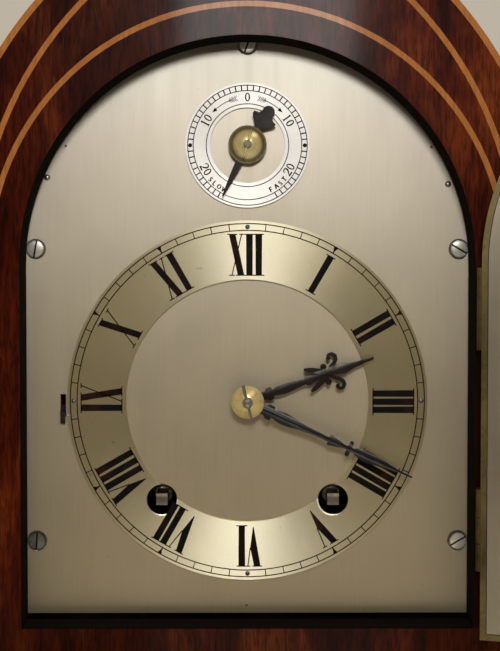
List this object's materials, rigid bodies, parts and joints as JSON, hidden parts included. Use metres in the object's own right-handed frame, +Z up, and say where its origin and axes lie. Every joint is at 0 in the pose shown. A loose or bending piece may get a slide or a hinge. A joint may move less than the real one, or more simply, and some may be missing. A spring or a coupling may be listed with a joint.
{
  "type": "chiming bracket clock",
  "caption": "Bracket clock in a pointed wooden case, with an arched dial, glazed doors at front and back, and a pendulum movement that strikes on coiled gongs.",
  "frame": {"origin": "middle of the plinth's underside", "axes": "+X to the viewer's right, +Y to the back, +Z up; the dial faces -Y"},
  "size_m": [0.3764, 0.2201, 0.3849],
  "materials": {
    "mahogany": "gloss",
    "boxwood": "gloss",
    "brass": "polished",
    "silvered": "satin",
    "glass": "polished",
    "steel": "satin",
    "blued": "satin",
    "iron": "matte"
  },
  "bodies": {
    "case": {"front_board": "mahogany", "inlay_lines": "boxwood", "carcase": "mahogany", "base_board": "mahogany", "plinth": "mahogany", "back_frame": "mahogany", "dial_fillet": "mahogany", "hinge_leaves": "brass", "dial_plate": "silvered", "chapter_ring": "silvered", "regulator_ring": "silvered", "dial_screws": "steel", "brass_cocks": "brass", "front_plate": "brass", "back_plate": "brass", "pillars": "brass", "seat_board": "mahogany", "motion_bridge": "brass", "gongs": "blued", "gong_block": "iron"},
    "front_door": {"front_door_frame": "brass", "front_door_glass": "glass", "front_door_band": "silvered", "front_door_knuckles": "brass"},
    "back_door": {"back_door_frame": "mahogany", "back_door_glass": "glass", "back_door_knuckles": "brass"},
    "back_catch": {"back_door_catch": "brass"},
    "lever": {"silent_lever": "blued"},
    "hour_work": {"hour_hand": "blued", "hour_wheel": "brass"},
    "minute_work": {"minute_hand": "blued", "hand_collet": "brass", "collet_pin": "steel", "cannon_wheel": "brass", "centre_arbor": "brass"},
    "minute_reverser": {"minute_wheel": "brass"},
    "third": {"third_wheel": "brass"},
    "escape": {"escape_wheel": "brass"},
    "anchor_and_crutch": {"anchor": "steel"},
    "second": {"second_wheel": "brass"},
    "going_spring_barrel": {"going_barrel": "brass"},
    "going_winding_arbor": {"going_winder": "steel"},
    "going_pawl": {"going_click": "steel"},
    "strike_spring_barrel": {"strike_barrel": "brass"},
    "strike_winding_arbor": {"strike_winder": "steel"},
    "strike_pawl": {"strike_click": "steel"},
    "strike_second": {"strike_second_wheel": "brass"},
    "rack_arm": {"strike_rack": "steel"},
    "pin_wheel_arbor": {"pin_wheel": "brass"},
    "fly_arbor": {"fly": "brass"},
    "low_hammer": {"hammer_low": "steel"},
    "high_hammer": {"hammer_high": "steel"},
    "regulator": {"regulator_hand": "blued", "regulator_collet": "brass", "regulator_arbor": "brass"},
    "slide": {"rise_slide": "steel"},
    "pendulum": {"pendulum_rod": "steel", "pendulum_bob": "brass"},
    "nut": {"rating_nut": "brass"}
  },
  "joints": [
    {"name": "front_door_swing", "type": "hinge", "parent": "case", "child": "front_door", "pos_m": [0.0867, -0.081, 0.1816], "axis": [0, 0, 1], "range_deg": [-164, 8]},
    {"name": "back_door_swing", "type": "hinge", "parent": "case", "child": "back_door", "pos_m": [0.0795, 0.0782, 0.1869], "axis": [0, 0, 1], "range_deg": [-110, 0]},
    {"name": "back_catch_turn", "type": "hinge", "parent": "back_door", "child": "back_catch", "pos_m": [-0.0712, 0.07, 0.1869], "axis": [0, -1, 0], "range_deg": [0, 90]},
    {"name": "silent_lever_slide", "type": "slide", "parent": "case", "child": "lever", "axis": [0, 0, 1], "range_m": [0, 0.0058]},
    {"name": "minute_turn", "type": "hinge", "parent": "case", "child": "minute_work", "pos_m": [0, -0.0184, 0.1869], "axis": [0, 1, 0], "continuous": true},
    {"name": "hour_turn", "type": "hinge", "parent": "case", "child": "hour_work", "pos_m": [0, -0.0184, 0.1869], "axis": [0, 1, 0], "continuous": true},
    {"name": "minute_wheel_turn", "type": "hinge", "parent": "case", "child": "minute_reverser", "pos_m": [-0.01659, -0.048, 0.17031], "axis": [0, 1, 0], "continuous": true},
    {"name": "third_turn", "type": "hinge", "parent": "case", "child": "third", "pos_m": [0.01326, -0.0184, 0.20812], "axis": [0, 1, 0], "continuous": true},
    {"name": "escape_turn", "type": "hinge", "parent": "case", "child": "escape", "pos_m": [0, -0.0184, 0.2229], "axis": [0, 1, 0], "continuous": true},
    {"name": "second_turn", "type": "hinge", "parent": "case", "child": "second", "pos_m": [0.02436, -0.0184, 0.18022], "axis": [0, 1, 0], "continuous": true},
    {"name": "going_barrel_turn", "type": "hinge", "parent": "case", "child": "going_spring_barrel", "pos_m": [0.0333, -0.0184, 0.1485], "axis": [0, 1, 0], "continuous": true},
    {"name": "going_winding", "type": "hinge", "parent": "case", "child": "going_winding_arbor", "pos_m": [0.0333, -0.0184, 0.1485], "axis": [0, 1, 0], "continuous": true},
    {"name": "going_click_lift", "type": "hinge", "parent": "case", "child": "going_pawl", "pos_m": [0.03608, -0.0463, 0.13274], "axis": [0, 1, 0], "range_deg": [0, 12], "stiffness_Nm_per_rad": 0.005, "springref_deg": -5.73},
    {"name": "pin_wheel_turn", "type": "hinge", "parent": "case", "child": "pin_wheel_arbor", "pos_m": [-0.02656, -0.0184, 0.20539], "axis": [0, 1, 0], "continuous": true},
    {"name": "strike_second_turn", "type": "hinge", "parent": "case", "child": "strike_second", "pos_m": [-0.02436, -0.0184, 0.18022], "axis": [0, 1, 0], "continuous": true},
    {"name": "strike_barrel_turn", "type": "hinge", "parent": "case", "child": "strike_spring_barrel", "pos_m": [-0.0333, -0.0184, 0.1485], "axis": [0, 1, 0], "continuous": true},
    {"name": "strike_winding", "type": "hinge", "parent": "case", "child": "strike_winding_arbor", "pos_m": [-0.0333, -0.0184, 0.1485], "axis": [0, 1, 0], "continuous": true},
    {"name": "strike_click_lift", "type": "hinge", "parent": "case", "child": "strike_pawl", "pos_m": [-0.03608, -0.0463, 0.13274], "axis": [0, -1, 0], "range_deg": [0, 12], "stiffness_Nm_per_rad": 0.005, "springref_deg": -5.73},
    {"name": "fly_turn", "type": "hinge", "parent": "case", "child": "fly_arbor", "pos_m": [-0.02039, -0.0184, 0.22236], "axis": [0, 1, 0], "continuous": true},
    {"name": "rack_fall", "type": "hinge", "parent": "case", "child": "rack_arm", "pos_m": [-0.03432, -0.05, 0.16746], "axis": [0, 1, 0], "range_deg": [0, 2.8]},
    {"name": "low_hammer_swing", "type": "hinge", "parent": "case", "child": "low_hammer", "pos_m": [-0.052, 0.01, 0.1849], "axis": [0, 1, 0], "range_deg": [0, 14], "stiffness_Nm_per_rad": 0.02, "springref_deg": -8.59},
    {"name": "high_hammer_swing", "type": "hinge", "parent": "case", "child": "high_hammer", "pos_m": [-0.052, 0.01, 0.1989], "axis": [0, 1, 0], "range_deg": [0, 14], "stiffness_Nm_per_rad": 0.02, "springref_deg": -8.59},
    {"name": "regulator_turn", "type": "hinge", "parent": "case", "child": "regulator", "pos_m": [0, -0.02, 0.2857], "axis": [0, 1, 0], "range_deg": [-6, 314]},
    {"name": "rise_slide_lift", "type": "slide", "parent": "case", "child": "slide", "axis": [0, 0, 1], "range_m": [-0.00007, 0.00392]},
    {"name": "pendulum_swing", "type": "hinge", "parent": "slide", "child": "pendulum", "pos_m": [0, 0.0191, 0.2444], "axis": [0, 1, 0], "range_deg": [-4, 4]},
    {"name": "anchor_swing", "type": "hinge", "parent": "case", "child": "anchor_and_crutch", "pos_m": [0, -0.02, 0.2444], "axis": [0, 1, 0], "range_deg": [-4, 4]},
    {"name": "rating_nut_turn", "type": "hinge", "parent": "pendulum", "child": "nut", "pos_m": [0, 0.0191, 0.0518], "axis": [0, 0, 1], "continuous": true}
  ],
  "couplings": [
    {"joint": "hour_turn", "follows": "minute_turn", "ratio": 0.083333},
    {"joint": "minute_wheel_turn", "follows": "minute_turn", "ratio": -1},
    {"joint": "third_turn", "follows": "minute_turn", "ratio": -12},
    {"joint": "escape_turn", "follows": "minute_turn", "ratio": 120},
    {"joint": "second_turn", "follows": "minute_turn", "ratio": -0.16667},
    {"joint": "going_barrel_turn", "follows": "minute_turn", "ratio": 0.019841},
    {"joint": "strike_second_turn", "follows": "pin_wheel_turn", "ratio": -0.16667},
    {"joint": "strike_barrel_turn", "follows": "pin_wheel_turn", "ratio": 0.019841},
    {"joint": "fly_turn", "follows": "pin_wheel_turn", "ratio": -8},
    {"joint": "regulator_turn", "follows": "rise_slide_lift", "rad_per_m": 1396.3},
    {"joint": "anchor_swing", "follows": "pendulum_swing", "ratio": 1}
  ]
}
